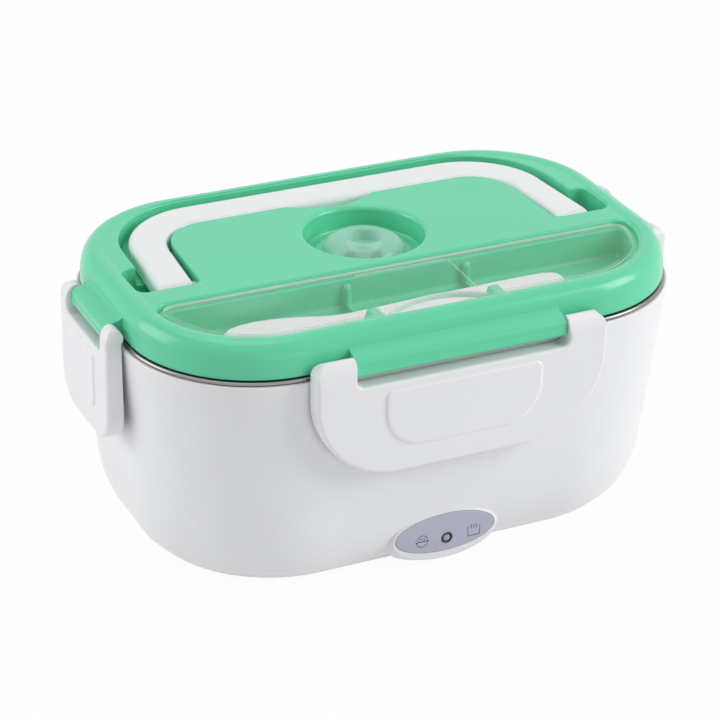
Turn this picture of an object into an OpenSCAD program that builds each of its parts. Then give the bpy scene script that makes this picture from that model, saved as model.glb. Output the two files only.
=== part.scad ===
// Electric lunch box: a heated housing with a lift-out steel container under a lid
// that four snap latches hold down. The front faces -Y, and the box stands on z = 0.

/* [Housing] */
// Length of the housing at its rim
rim_l = 221; // [200:1:270]
// Width of the housing at its rim
rim_w = 145; // [130:1:180]
// Corner radius of the rim
rim_r = 51; // [42:1:61]
// Height of the rim above the table
rim_z = 90; // [75:1:115]
// How far each end wall leans in between rim and table
lean_x = 6.2; // [4:0.1:8]
// How far each long wall leans in between rim and table
lean_y = 4.8; // [3:0.1:6]
// How much the corner radius grows between rim and table
base_grow = 5; // [0:1:7]
// Wall of the housing
shell_t = 2.2; // [1.8:0.1:2.6]
// Height where the walls start to tuck in
tuck_z = 22; // [18:1:26]
// How far they have tucked in at the crease
tuck = 3.6; // [2.5:0.1:4.5]
// Height of the crease above the table
crease_z = 6.5; // [6:0.1:7.5]
// Width of the bevel between the crease and the base
bevel = 4.7; // [3.5:0.1:5.5]
// Half length of the raised pad for the indicator
pad_l = 25; // [24:1:34]
// Half height of that pad
pad_h = 10.5; // [10:0.5:13]
// How far the pad stands proud of the wall at its top
pad_proud = 0.2; // [0.1:0.1:1]

/* [Lid] */
// Step from the housing's rim in to the lid's edge
lid_step = 2; // [1.5:0.1:3]
// Gap between the housing's rim and the lid's lower edge
lid_gap = 2; // [1.9:0.1:2.6]
// Height of the lid from its lower edge to its crest
lid_h = 13.5; // [13:0.5:17]
// Wall of the lid
lid_t = 2.2; // [1.8:0.1:2.6]
// Width of the lid's rounded edge
edge_w = 6; // [4:0.5:8]
// Height of the lid's rounded edge
edge_h = 8; // [5:0.5:9]
// Drop of the middle of the lid below its crest
deck_drop = 0.5; // [0.2:0.1:1]
// Half length of the front and back latch tabs
tab_long = 42.5; // [34:0.5:51]
// Half length of the side latch tabs
tab_short = 17.5; // [14:0.1:19]
// How far a latch tab stands out of the lid
tab_out = 7; // [6.8:0.1:7.5]

/* [Handle] */
// Length of the handle over its legs
handle_l = 179; // [160:1:181]
// Width of a leg
leg_w = 14.5; // [10:0.5:16]
// Width of the grip bar
grip_w = 16.5; // [12:0.5:19]
// Distance from the lid's back edge to the grip bar
grip_back = 11.5; // [11:0.5:14]
// Thickness of the handle
handle_t = 7.5; // [6:0.5:8]
// Outer corner radius of the handle
handle_r = 33; // [26:1:38]
// Distance from the middle of the lid forward to the handle's pivot
pivot_in = 1.5; // [0:0.5:5]
// Radius of the handle's pivot studs
stud_r = 2.2; // [2:0.1:3]

/* [Lid recesses] */
// Radius of the valve well
well_r = 23.4; // [20:0.1:24]
// Distance from the middle of the lid back to the valve
valve_y = 8.5; // [5:0.5:10]
// Depth of the valve well below the lid's crest
well_d = 10.5; // [9:0.5:11]
// Distance from the lid's edge to the cutlery recess
recess_in = 10; // [9.5:0.5:13]
// Distance from the middle of the lid forward to the recess
recess_y = 20.5; // [20:0.5:28]
// Depth of the cutlery recess below the lid's crest
recess_d = 15; // [12:0.5:15.5]
// Radius of the spoon's bowl
spoon_r = 14.5; // [12:0.5:15]
// Length of the spoon
spoon_l = 138; // [115:1:145]

/* [Latches] */
// Half width of the front and back latches
latch_long = 59; // [54:1:70]
// Half width of the side latches
latch_short = 25; // [24:1:30]
// How far behind the middle the side latches sit
side_y = 2.5; // [0:0.5:5]
// How far a latch hangs below the housing's rim
latch_drop = 40; // [34:1:46]
// Thickness of a latch's plate
latch_t = 2.6; // [2:0.1:3]
// Height of a latch's hinge above the lid's lower edge
hinge_h = 3.6; // [3.4:0.1:4]
// Distance from the lid's edge out to a latch's hinge
hinge_out = 4.7; // [4.6:0.1:5]
// Radius of a latch's hinge pin
hinge_pin_r = 1.3; // [1:0.1:1.4]
// How far a latch's hook reaches under its catch
bite = 1.2; // [0.8:0.1:1.4]

/* [Containers] */
// Height of the steel container's floor above the table
pot_z = 30.9; // [30:0.1:36]
// Thickness of the steel
steel_t = 0.8; // [0.6:0.1:1]
// Height of the side tray's floor above the container's floor
tray_lift = 14; // [8:1:25]
// Distance from the middle to the side tray's inner wall
tray_x = 32; // [20:1:45]
// Wall of the side tray
tray_t = 1.2; // [1:0.1:1.6]

/* [Heater and base] */
// Height of the rubber feet
foot_h = 1.2; // [0.8:0.1:1.5]
// Thickness of the base cover
base_t = 2; // [1.6:0.1:2.1]
// Thickness of the heater plate
plate_t = 1.6; // [1.2:0.1:2]
// Length of the heater block
ptc_l = 60; // [45:1:62]
// Height of the heater block
ptc_h = 8; // [6:0.5:9]
// Radius of the base screws' shanks
screw_r = 1.5; // [1.2:0.1:1.8]

/* [Power and indicator] */
// Half length of the indicator panel
panel_l = 21.5; // [18:0.5:22]
// Half height of the indicator panel
panel_h = 8; // [6.5:0.5:8.5]
// Radius of the indicator lamp
led_r = 1.5; // [1.2:0.1:2]
// Height of the power inlet above the table
inlet_z = 17; // [16:0.5:20]
// Distance between the inlet's pins
pin_gap = 8.6; // [8.6:0.1:10]
// Radius of the inlet's pins
pin_r = 1.2; // [1:0.1:1.3]

/* [Hidden] */
$fn = 64;
corner_fn = 40;    // facets of a full circle inside a hull
skin = 0.02;       // thickness of a hull's section
over = 1;          // how far a cut runs past a face
slide_gap = 0.06;  // radial gap of a turning pin
seat_gap = 0.3;    // gap between seated pieces
join = 0.5;        // how far a feature sinks into its wall

white = [0.90, 0.90, 0.92];
mint = [0.47, 0.83, 0.68];
steel = [0.75, 0.76, 0.78];
aluminium = [0.80, 0.81, 0.83];
dark = [0.15, 0.15, 0.16];
clear = [0.80, 0.95, 0.90, 0.4];
frosted = [0.85, 0.93, 0.90, 0.7];

// Lid
lid_l = rim_l - 2 * lid_step;
lid_w = rim_w - 2 * lid_step;
lid_r = rim_r - lid_step;
lid_z = rim_z + lid_gap;
lid_top = lid_z + lid_h;
deck_z = lid_top - deck_drop;
rib_out = 5.3;                        // lid edge to the gasket rib's outer face
rib_t = 1.6;
web_z = lid_z + 3.2;                  // underside of the web above the gasket
web_t = 1.8;

// Steel container, seen from the housing's rim inwards
flange_in = 1;                        // rim to the flange's edge
neck_in = 7.2;                        // rim to the neck's outer face
bowl_in = 9.2;                        // rim to the bowl's outer face
bowl_draft = 3;                       // lean of the bowl's wall
bowl_round = 4;                       // rounding of the bowl's floor
ledge_z = rim_z - 4;                  // where the neck steps in to the bowl
flange_z = rim_z + 2 * steel_t;       // top of the flange
neck_r = rim_r - neck_in;
bowl_r = rim_r - bowl_in;

// Inner well
well_gap = 1;                         // neck to the well's inner face
well_t = 1.4;
well_floor_t = 1.6;
well_draft = 4.5;
flange_t = 1.6;                       // flange of the well on the housing
rebate_w = 1.1;                       // wall left outside that flange
floor_z = pot_z - seat_gap - plate_t; // top of the well's floor
window_l = 104;                       // opening in the floor under the heater plate
window_w = 56;
window_r = 8;
plate_over = 8;                       // how far the heater plate overlaps that opening

// Heater below its plate
ptc_w = 28;
ptc_y = -10;
ptc_z = floor_z - ptc_h;
strap_t = 1.6;
strap_w = 16;
strap_gap = 1.4;                      // heater block to the strap's legs
ear_l = 13;                           // foot of the strap
boss_r = 3.5;
boss_h = 4;
boss_x = ptc_l / 2 + strap_gap + strap_t + ear_l / 2;
heater_screw_r = 1.5;
head_h = 2;
cutout_r = 8;
cutout_x = -18;
cutout_y = 15;
fuse_r = 2;
fuse_l = 12;
fuse_x = 18;

// Base
base_in = shell_t + seat_gap;
lip_w = 4;                            // width of the ledge above the base cover
lip_t = 1.6;
lip_z = foot_h + base_t + 0.2;
screw_x = 62;
screw_y = 38;
screw_l = 14;
screw_head_r = 3;
screw_seat = foot_h + 3;
post_r = 4;
post_z = screw_seat + 4.1;
foot_r = 6;
foot_x = 78;
foot_y = 24;
foot_seat = 0.8;

// Indicator
pad_z = foot_h + pad_h;
pad_face = shell_w(pad_z + pad_h) / 2 + pad_proud;
panel_t = 0.8;
panel_z = pad_z + 0.9;
led_z = pad_z - 1.7;
board_l = 28;
board_h = 8;
board_t = 1.2;
board_y = pad_face - 6;
peg_x = 11.5;
peg_r = 1.8;
peg_pin = 0.8;
ring_r = 2.35;                        // dark ring round the lamp
ring_t = 0.3;

// Power inlet
inlet_face = shell_w(inlet_z + 10) / 2 + 0.4;
inlet_l = 22;
inlet_h = 12.5;
inlet_d = 17;
inlet_r = 3;
inlet_rim = 2.5;
inlet_lip = 1.5;
socket_l = 17;
socket_h = 9;
socket_d = 12;
pin_l = 10;

// Latches: u runs outwards from the lid's edge
hinge_z = lid_z + hinge_h;
ear_r = 4.4;
latch_in = 2.6;                       // u of a latch's inner edges
latch_out = hinge_out + ear_r;        // u of a latch's outer face
tab_root = 1.5;                       // how far a tab reaches into the lid's wall
tab_hang = 3;                         // u where a tab's front starts to hang lower
tab_drop = 1.4;                       // and how far it hangs
ear_top_r = 6.5;
rim_wall = 2.2;                       // side wall round a latch
tab_side = 0.5;                       // gap between a tab and a latch's ear
latch_bottom = rim_z - latch_drop;
notch_z = rim_z - 2.7;                // top of the plate below the tab
long_r = 33;
short_r = 14;
ear_deep = 10;                        // depth of a pin's bore in an ear, at most
catch_u = hinge_out - 0.4;            // u of a catch's tip
catch_z = hinge_z - 16.2;             // height of a hook's tip
catch_gap = 0.45;
lip_long = 44;                        // lengths of the catches
lip_short = 20;
field_long = 31.5;                    // half widths of the raised fields
field_short = 12;
emboss = 0.8;

// Handle and its channel
handle_top = deck_z - 0.2;
handle_low = handle_top - handle_t;
pivot_y = -pivot_in;
pivot_z = handle_low + stud_r;
leg_end = pivot_y - 5.5;
leg_roll = 4.5;                       // rounding of the legs' front ends
grip_y = lid_w / 2 - grip_back;
slot = 1.2;                           // gap on the handle's inner side
slot_out = 2.2;                       // and on its outer side
channel_z = handle_low - seat_gap;
swing_z = pivot_z - 6.6;
swing_y = pivot_y - 7.5;              // front end of the leg pockets
swing_back = pivot_y + 14;            // back end of their wide part
swing_out = 99;                       // outer side of their wide part
leg_in = handle_l / 2 - leg_w;
stud_l = 4;
boss_w = 5;
finger_l = 56;                        // pocket for fingertips behind the grip
finger_w = 8;
finger_z = deck_z - 5.5;

// Valve and cutlery recess
well_z = lid_top - well_d;
stem_r = 7.5;
dome_r = 19;
cup_r = 6.5;                          // hollow in the valve's top
cover_t = 1.4;
cover_top = lid_top - 2.1;
pocket_in = 2.5;                      // width of the ledge under the cover
pocket_z = lid_top - recess_d;
recess_corner = 5.5;                  // back corners of the recess
recess_nip = 0.7;                     // draws them in to meet the ends' arcs smoothly
rest_x = 25;                          // ribs that hold the spoon
rest_mid = 3;                         // middle between them
rest_r = 2;
rest_h = 10;
prong_h = 10.5;                       // height of the prongs in front of the spoon
spoon_y = -(recess_y + 19);
spoon_t = 2;
spoon_low = 2.35;                     // height of the spoon's handle above the floor
notch_r = 30.7;                       // finger notch in the cover
notch_d = 8.8;

function lean(z) = 1 - z / rim_z;
function tuck_in(z) =
    z >= tuck_z ? 0 :
    z >= crease_z ? tuck * pow((tuck_z - z) / (tuck_z - crease_z), 2) :
    tuck + bevel * (crease_z - z) / (crease_z - foot_h);
function shell_l(z) = rim_l - 2 * (lean_x * lean(z) + tuck_in(z));
function shell_w(z) = rim_w - 2 * (lean_y * lean(z) + tuck_in(z));
function shell_r(z) = rim_r + base_grow * lean(z) - tuck_in(z);

// Rounded rectangle, true arcs
module rrect(l, w, r) {
    square([l - 2 * r, w], center = true);
    square([l, w - 2 * r], center = true);
    for (sx = [-1, 1], sy = [-1, 1])
        translate([sx * (l / 2 - r), sy * (w / 2 - r)]) circle(r);
}

module block(l, w, r, z0, z1) {
    translate([0, 0, z0]) linear_extrude(z1 - z0) rrect(l, w, r);
}

// Ring between an outline and the same outline t further in
module band(l, w, r, t, z0, z1) {
    translate([0, 0, z0]) linear_extrude(z1 - z0) difference() {
        rrect(l, w, r);
        rrect(l - 2 * t, w - 2 * t, r - t);
    }
}

// Four thin corner discs, for a hull
module corners(l, w, r, z) {
    for (sx = [-1, 1], sy = [-1, 1])
        translate([sx * (l / 2 - r), sy * (w / 2 - r), z])
            cylinder(r = r, h = skin, $fn = corner_fn);
}

// Turns a side's own frame to the front, right, back or left of the lid
module at_front() { translate([0, -lid_w / 2, 0]) children(); }
module at_back() { rotate([0, 0, 180]) at_front() children(); }
module at_left() {
    translate([0, side_y, 0]) rotate([0, 0, -90]) translate([0, -lid_l / 2, 0]) children();
}
module at_right() {
    translate([0, side_y, 0]) rotate([0, 0, 90]) translate([0, -lid_l / 2, 0]) children();
}

// A profile of (u outwards, z) drawn along a side
module along(length) {
    rotate([90, 0, -90]) linear_extrude(length, center = true) children();
}

// An outline of (x, z) drawn outwards from u0 to u1
module outwards(u0, u1) {
    translate([0, -u0, 0]) rotate([90, 0, 0]) linear_extrude(u1 - u0) children();
}

module oval(a, b) {
    polygon([for (t = [0:7.5:359]) [a * cos(t), b * sin(t)]]);
}

// ---- Housing ----

module shell_solid(inset, low, high) {
    hull()
        for (z = [low, crease_z, (crease_z + tuck_z) / 3, (crease_z + tuck_z) / 2, tuck_z, high])
            corners(shell_l(z) - 2 * inset, shell_w(z) - 2 * inset, shell_r(z) - inset, z);
}

module catch_lip(length) {
    root = lid_step - shell_t - 0.6;
    tip_z = catch_z + catch_gap + bite;
    along(length) polygon([
        [root, tip_z - catch_u + root], [catch_u, tip_z],
        [catch_u, tip_z + 1.2], [root, tip_z + 4.5]
    ]);
}

module catch_lips() {
    at_front() catch_lip(lip_long);
    at_back() catch_lip(lip_long);
    at_left() catch_lip(lip_short);
    at_right() catch_lip(lip_short);
}

module housing_shell() color(white) {
    difference() {
        union() {
            shell_solid(0, foot_h, rim_z - skin);
            translate([0, 0, pad_z]) outwards(pad_face - 9, pad_face) oval(pad_l, pad_h);
            translate([0, inlet_face - 8, inlet_z])
                rotate([-90, 0, 0]) linear_extrude(8)
                    rrect(inlet_l + 10, inlet_h + 8, inlet_r + 3);
        }
        difference() {
            shell_solid(shell_t, foot_h - over, rim_z + over);
            // lower wall of the indicator pad stays
            translate([0, 0, pad_z]) outwards(pad_face - 9, pad_face)
                oval(pad_l, pad_h);
            translate([0, inlet_face - 3.5, inlet_z]) rotate([-90, 0, 0])
                linear_extrude(8) rrect(inlet_l + 10, inlet_h + 8, inlet_r + 3);
        }
        translate([0, 0, pad_z]) outwards(pad_face - 10, pad_face - shell_t)
            oval(pad_l - shell_t, pad_h - shell_t);
        translate([0, 0, panel_z]) outwards(pad_face - panel_t, pad_face + over)
            oval(panel_l + 0.15, panel_h + 0.15);
        translate([0, -pad_face, led_z]) rotate([90, 0, 0])
            cylinder(r = led_r + 0.1, h = 4 * shell_t, center = true);
        translate([0, inlet_face, inlet_z]) rotate([90, 0, 0])
            linear_extrude(24, center = true) rrect(inlet_l, inlet_h, inlet_r);
        block(shell_l(rim_z) - 2 * rebate_w, shell_w(rim_z) - 2 * rebate_w,
              rim_r - rebate_w, rim_z - flange_t, rim_z + over);
    }
    catch_lips();
    // ledge that the base cover is drawn up against
    band(shell_l(lip_z) - 2 * shell_t + 2 * join, shell_w(lip_z) - 2 * shell_t + 2 * join,
         shell_r(lip_z) - shell_t + join, lip_w + join, lip_z, lip_z + lip_t);
    // pegs of the lamp's board
    for (s = [-1, 1]) translate([s * peg_x, 0, led_z]) rotate([90, 0, 0]) {
        translate([0, 0, board_y]) cylinder(r = peg_r, h = pad_face - shell_t - board_y + join);
        translate([0, 0, board_y - board_t - 0.6]) cylinder(r = peg_pin, h = 4);
    }
}

module base_cover() color(white) difference() {
    union() {
        block(shell_l(foot_h) - 2 * base_in, shell_w(foot_h) - 2 * base_in,
              shell_r(foot_h) - base_in, foot_h, foot_h + base_t);
        for (sx = [-1, 1], sy = [-1, 1]) translate([sx * screw_x, sy * screw_y, foot_h])
            cylinder(r = screw_head_r + 1.8, h = post_z - foot_h - seat_gap);
    }
    for (sx = [-1, 1], sy = [-1, 1]) {
        translate([sx * screw_x, sy * screw_y, foot_h - over]) {
            cylinder(r = screw_head_r + 0.3, h = screw_seat - foot_h + over);
            cylinder(r = screw_r + 0.2, h = 20);
        }
        translate([sx * foot_x, sy * foot_y, foot_h - over])
            cylinder(r = foot_r + 0.1, h = foot_seat + over);
    }
}

module base_screws() color(steel)
    for (sx = [-1, 1], sy = [-1, 1]) translate([sx * screw_x, sy * screw_y, 0])
        difference() {
            union() {
                translate([0, 0, screw_seat - head_h]) cylinder(r = screw_head_r, h = head_h);
                translate([0, 0, screw_seat - join]) cylinder(r = screw_r, h = screw_l + join);
            }
            for (a = [0, 90]) translate([0, 0, screw_seat - head_h]) rotate([0, 0, a])
                cube([3.2, 0.8, 1.6], center = true);
        }

module rubber_feet() color(dark)
    for (sx = [-1, 1], sy = [-1, 1]) translate([sx * foot_x, sy * foot_y, 0])
        rotate_extrude() polygon([
            [0, 0], [foot_r - 0.8, 0], [foot_r, 0.6],
            [foot_r, foot_h + foot_seat], [0, foot_h + foot_seat]
        ]);

module well_solid(inset, low, high) {
    hull() for (z = [low, high]) {
        lean_in = well_draft * (rim_z - z) / (rim_z - floor_z);
        grow = neck_in - well_gap + lean_in + inset;
        corners(rim_l - 2 * grow, rim_w - 2 * grow, rim_r - grow, z);
    }
}

module inner_well() color(white) {
    difference() {
        union() {
            well_solid(-well_t, floor_z - well_floor_t, rim_z - skin);
            block(rim_l - 2 * rebate_w - 0.4, rim_w - 2 * rebate_w - 0.4,
                  rim_r - rebate_w - 0.2, rim_z - flange_t, rim_z);
            for (sx = [-1, 1], sy = [-1, 1]) translate([sx * screw_x, sy * screw_y, post_z])
                cylinder(r = post_r, h = floor_z - post_z - join);
        }
        well_solid(0, floor_z, rim_z + over);
        block(window_l, window_w, window_r, floor_z - 10, floor_z + over);
        for (sx = [-1, 1], sy = [-1, 1])
            translate([sx * screw_x, sy * screw_y, post_z - over])
                cylinder(r = screw_r + slide_gap, h = screw_seat + screw_l - post_z + 2 * over);
    }
}

// ---- Heater ----

module heater_plate() color(aluminium) {
    block(window_l + 2 * plate_over, window_w + 2 * plate_over, window_r + plate_over,
          floor_z, floor_z + plate_t);
    for (s = [-1, 1]) translate([s * boss_x, ptc_y, floor_z - boss_h]) difference() {
        cylinder(r = boss_r, h = boss_h + join);
        translate([0, 0, -over]) cylinder(r = heater_screw_r + slide_gap, h = boss_h + 0.6);
    }
}

module ptc_heater() color([0.85, 0.62, 0.25]) {
    translate([-ptc_l / 2, ptc_y - ptc_w / 2, ptc_z]) cube([ptc_l, ptc_w, ptc_h]);
    for (x = [-6, 10]) translate([x - 2, ptc_y + ptc_w / 2 - join, floor_z - 4.4])
        cube([4, 4.5, 0.8]);
}

module heater_bracket() color(steel) {
    inner = ptc_l / 2 + strap_gap;
    foot_z = floor_z - boss_h - strap_t;
    difference() {
        translate([0, ptc_y + strap_w / 2, 0]) rotate([90, 0, 0]) linear_extrude(strap_w)
            polygon([
                [-inner - strap_t - ear_l, foot_z], [-inner - strap_t, foot_z],
                [-inner - strap_t, ptc_z - strap_t], [inner + strap_t, ptc_z - strap_t],
                [inner + strap_t, foot_z], [inner + strap_t + ear_l, foot_z],
                [inner + strap_t + ear_l, foot_z + strap_t], [inner, foot_z + strap_t],
                [inner, ptc_z], [-inner, ptc_z],
                [-inner, foot_z + strap_t], [-inner - strap_t - ear_l, foot_z + strap_t]
            ]);
        for (s = [-1, 1]) translate([s * boss_x, ptc_y, foot_z - over])
            cylinder(r = heater_screw_r + 0.15, h = strap_t + 2 * over);
    }
}

module heater_screws() color(steel)
    for (s = [-1, 1]) translate([s * boss_x, ptc_y, floor_z - boss_h - strap_t]) {
        translate([0, 0, -head_h]) cylinder(r = 2.8, h = head_h);
        translate([0, 0, -join]) cylinder(r = heater_screw_r, h = strap_t + boss_h - 0.6 + join);
    }

module thermostat() color([0.82, 0.80, 0.74])
    translate([cutout_x, cutout_y, 0]) {
        translate([0, 0, floor_z - 4]) cylinder(r = cutout_r, h = 4);
        translate([0, 0, floor_z - 9]) cylinder(r = cutout_r - 1, h = 5 + join);
        for (s = [-1, 1]) translate([s * 4 - 0.4, -2, floor_z - 15])
            cube([0.8, 4, 6 + join]);
    }

module thermal_fuse() color(steel)
    translate([fuse_x, cutout_y, floor_z - fuse_r - 0.1]) rotate([0, 90, 0]) {
        cylinder(r = fuse_r, h = fuse_l, center = true);
        cylinder(r = 0.6, h = fuse_l + 6, center = true);
    }

// ---- Power inlet and indicator ----

module power_inlet() color(dark) translate([0, inlet_face, inlet_z]) rotate([90, 0, 0])
    difference() {
        union() {
            translate([0, 0, -inlet_lip]) linear_extrude(inlet_lip)
                rrect(inlet_l + 2 * inlet_rim, inlet_h + 2 * inlet_rim, inlet_r + 1);
            translate([0, 0, -join]) linear_extrude(inlet_d + join)
                rrect(inlet_l - 0.4, inlet_h - 0.4, inlet_r - 0.2);
        }
        translate([0, 0, -inlet_lip - over]) linear_extrude(socket_d + inlet_lip + over) {
            for (s = [-1, 1]) translate([s * (socket_l - socket_h) / 2, 0])
                circle(socket_h / 2);
            square([socket_l - socket_h, socket_h], center = true);
        }
        for (s = [-1, 1]) translate([s * pin_gap / 2, 0, 0])
            cylinder(r = pin_r + slide_gap, h = inlet_d + over);
    }

module inlet_pins() color(steel) for (s = [-1, 1])
    translate([s * pin_gap / 2, inlet_face - socket_d + pin_l, inlet_z]) rotate([90, 0, 0]) {
        cylinder(r = pin_r, h = inlet_d - socket_d + pin_l + 2);
    }

module indicator_panel() color([0.66, 0.67, 0.74])
    difference() {
        translate([0, 0, panel_z]) outwards(pad_face - panel_t, pad_face)
            oval(panel_l, panel_h);
        translate([0, -pad_face, led_z]) rotate([90, 0, 0])
            cylinder(r = ring_r, h = 6, center = true);
    }

module led_bezel() color(dark)
    translate([0, -pad_face - ring_t, led_z]) rotate([-90, 0, 0]) difference() {
        cylinder(r = ring_r - 0.05, h = ring_t + panel_t);
        translate([0, 0, -over]) cylinder(r = led_r + 0.1, h = 4);
    }

module led_lamp() color([0.75, 0.72, 0.76])
    translate([0, -board_y, led_z]) rotate([90, 0, 0]) {
        cylinder(r = led_r + 0.4, h = 1);
        cylinder(r = led_r, h = pad_face - board_y);
    }

module led_board() color([0.10, 0.42, 0.25]) {
    difference() {
        translate([-board_l / 2, -board_y, led_z - board_h / 2])
            cube([board_l, board_t, board_h]);
        for (s = [-1, 1]) translate([s * peg_x, -board_y, led_z]) rotate([90, 0, 0])
            cylinder(r = peg_pin + 0.1, h = 4 * board_t, center = true);
    }
    translate([-4, -board_y + board_t + 0.7, led_z + 2.5]) rotate([0, 90, 0])
        cylinder(r = 1, h = 8);
}

// ---- Wiring: each lead is a tube swept along a smooth curve ----

wire_r = 0.9;
wire_sides = 8;
wire_steps = 9;
tab_z = floor_z - 4;
pin_back = inlet_face - inlet_d - 2.3;
fuse_end = fuse_l / 2 + 3.6;
leads = [
    [[-pin_gap / 2, pin_back, inlet_z], [-pin_gap / 2, pin_back - 10, inlet_z - 2],
     [cutout_x - 4, 30, 10], [cutout_x - 4, cutout_y + 2.9, floor_z - 14]],
    [[cutout_x + 4, cutout_y + 2.9, floor_z - 14], [cutout_x + 4, cutout_y + 9, floor_z - 14],
     [-6, cutout_y + 6, tab_z - 6], [-6, ptc_y + ptc_w / 2 + 4.9, tab_z]],
    [[10, ptc_y + ptc_w / 2 + 4.9, tab_z], [10, cutout_y, tab_z - 3],
     [6, cutout_y + 3, tab_z + 1], [fuse_x - fuse_end, cutout_y, floor_z - fuse_r - 0.1]],
    [[fuse_x + fuse_end, cutout_y, floor_z - fuse_r - 0.1],
     [fuse_x + 20, cutout_y, floor_z - 6], [pin_gap / 2, 30, inlet_z - 4],
     [pin_gap / 2, pin_back, inlet_z]],
    [[-8, -board_y + board_t + 0.1, led_z], [-8, -board_y + 12, led_z],
     [-44, -30, 9], [-44, -6, 12]],
    [[8, -board_y + board_t + 0.1, led_z], [8, -board_y + 12, led_z],
     [-40, -30, 9], [-40, -6, 12]]
];

function bezier(p, t) =
    pow(1 - t, 3) * p[0] + 3 * pow(1 - t, 2) * t * p[1]
    + 3 * (1 - t) * t * t * p[2] + t * t * t * p[3];
function heading(p, t) =
    let (d = 3 * pow(1 - t, 2) * (p[1] - p[0]) + 6 * (1 - t) * t * (p[2] - p[1])
        + 3 * t * t * (p[3] - p[2]))
    d / norm(d);
function ring_at(c, d, r, n) =
    let (s = cross(d, [0.36, 0.48, 0.8]), a = s / norm(s), b = cross(a, d))
    [for (i = [0:n - 1]) c + r * (cos(360 * i / n) * a + sin(360 * i / n) * b)];

module lead(p) {
    points = [for (k = [0:wire_steps]) each
        ring_at(bezier(p, k / wire_steps), heading(p, k / wire_steps), wire_r, wire_sides)];
    n = wire_sides;
    sides = [for (k = [0:wire_steps - 1], i = [0:n - 1])
        [k * n + i, k * n + (i + 1) % n, (k + 1) * n + (i + 1) % n, (k + 1) * n + i]];
    first = [[for (i = [0:n - 1]) n - 1 - i]];
    last = [[for (i = [0:n - 1]) wire_steps * n + i]];
    polyhedron(points, concat(sides, first, last));
}

module wiring() color([0.75, 0.12, 0.10]) for (p = leads) lead(p);

// ---- Containers ----

module bowl_solid(inset, low) {
    round_r = bowl_round - inset;
    hull() {
        for (a = [0, 30, 60, 90]) {
            z = low + round_r * (1 - sin(a));
            side = bowl_in + inset + bowl_draft + round_r * (1 - cos(a));
            corners(rim_l - 2 * side, rim_w - 2 * side, rim_r - side, z);
        }
        top = bowl_in + inset;
        corners(rim_l - 2 * top, rim_w - 2 * top, rim_r - top, ledge_z - skin + inset / 10);
    }
}

module steel_container() color(steel) {
    difference() {
        bowl_solid(0, pot_z);
        bowl_solid(steel_t, pot_z + steel_t);
    }
    // ledge, neck, flange and its turned-down edge
    band(rim_l - 2 * neck_in, rim_w - 2 * neck_in, neck_r,
         bowl_in - neck_in + steel_t, ledge_z - steel_t, ledge_z);
    band(rim_l - 2 * neck_in, rim_w - 2 * neck_in, neck_r, steel_t,
         ledge_z - steel_t, flange_z);
    band(rim_l - 2 * flange_in, rim_w - 2 * flange_in, rim_r - flange_in,
         neck_in - flange_in + steel_t, flange_z - steel_t, flange_z);
    band(rim_l - 2 * flange_in, rim_w - 2 * flange_in, rim_r - flange_in,
         1.2, rim_z, flange_z);
}

module tray_area(inset, past) {
    intersection() {
        rrect(rim_l - 2 * inset, rim_w - 2 * inset, rim_r - inset);
        translate([tray_x + past, -rim_w / 2]) square([rim_l, rim_w]);
    }
}

module side_tray() color(white) {
    body_in = bowl_in + steel_t + bowl_draft + 0.6;
    low = pot_z + steel_t + tray_lift;
    difference() {
        union() {
            translate([0, 0, low]) linear_extrude(ledge_z + tray_t - low)
                tray_area(body_in, 0);
            translate([0, 0, ledge_z]) linear_extrude(tray_t)
                tray_area(neck_in + steel_t + 0.5, -3);
        }
        translate([0, 0, low + tray_t]) linear_extrude(ledge_z)
            tray_area(body_in + tray_t, tray_t);
    }
}

// ---- Lid ----

module lid_dome(inset, low) {
    hull() {
        corners(lid_l - 2 * inset, lid_w - 2 * inset, lid_r - inset, low);
        for (a = [0, 30, 55, 75, 90]) {
            side = inset + edge_w * (1 - cos(a));
            z = lid_top - inset - skin - edge_h * (1 - sin(a));
            corners(lid_l - 2 * side, lid_w - 2 * side, lid_r - side, z);
        }
    }
}

// Plan of the handle, grown by g on its inner side and by h on its outer side
module handle_plan(g, h) {
    difference() {
        translate([0, grip_y - handle_l / 2])
            rrect(handle_l + 2 * h, handle_l + 2 * h, handle_r + h);
        translate([0, grip_y - grip_w - g - leg_in + g])
            rrect(2 * leg_in - 2 * g, 2 * leg_in - 2 * g, handle_r - leg_w - g);
        translate([-handle_l, leg_end - 2 * handle_l])
            square([2 * handle_l, 2 * handle_l]);
    }
}

// Plan of the deep pockets in which the legs turn
module swing_plan(g) {
    for (s = [-1, 1]) {
        mid = (swing_out + leg_in - slot) / 2;
        translate([s * mid, (swing_back + swing_y) / 2])
            rrect(swing_out - leg_in + slot + 2 * g, swing_back - swing_y + 2 * g, 4 + g);
    }
}

// Plan of the cutlery recess, drawn in by g
module recess_plan(g) {
    side = recess_in + g;
    l = lid_l - 2 * side;
    intersection() {
        rrect(l, lid_w - 2 * side, lid_r - side);
        translate([0, -recess_y - g - lid_w / 2])
            rrect(l - 2 * recess_nip, lid_w, recess_corner - g);
    }
}

module latch_tab(half) {
    difference() {
        along(2 * half) polygon([
            [-tab_root, lid_z + 0.4], [0, lid_z], [tab_hang, lid_z],
            [tab_hang + 0.8, lid_z - tab_drop], [tab_out - 1, lid_z - tab_drop],
            [tab_out, lid_z - tab_drop + 1], [tab_out, lid_z + 4.2],
            [tab_out - 0.5, lid_z + 5.2], [tab_out - 1.5, lid_z + 5.8],
            [0, lid_z + 6.8], [-tab_root, lid_z + 6.8]
        ]);
        translate([0, -hinge_out, hinge_z]) rotate([0, 90, 0])
            cylinder(r = hinge_pin_r + slide_gap, h = 2 * half + 2 * over, center = true);
    }
}

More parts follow.
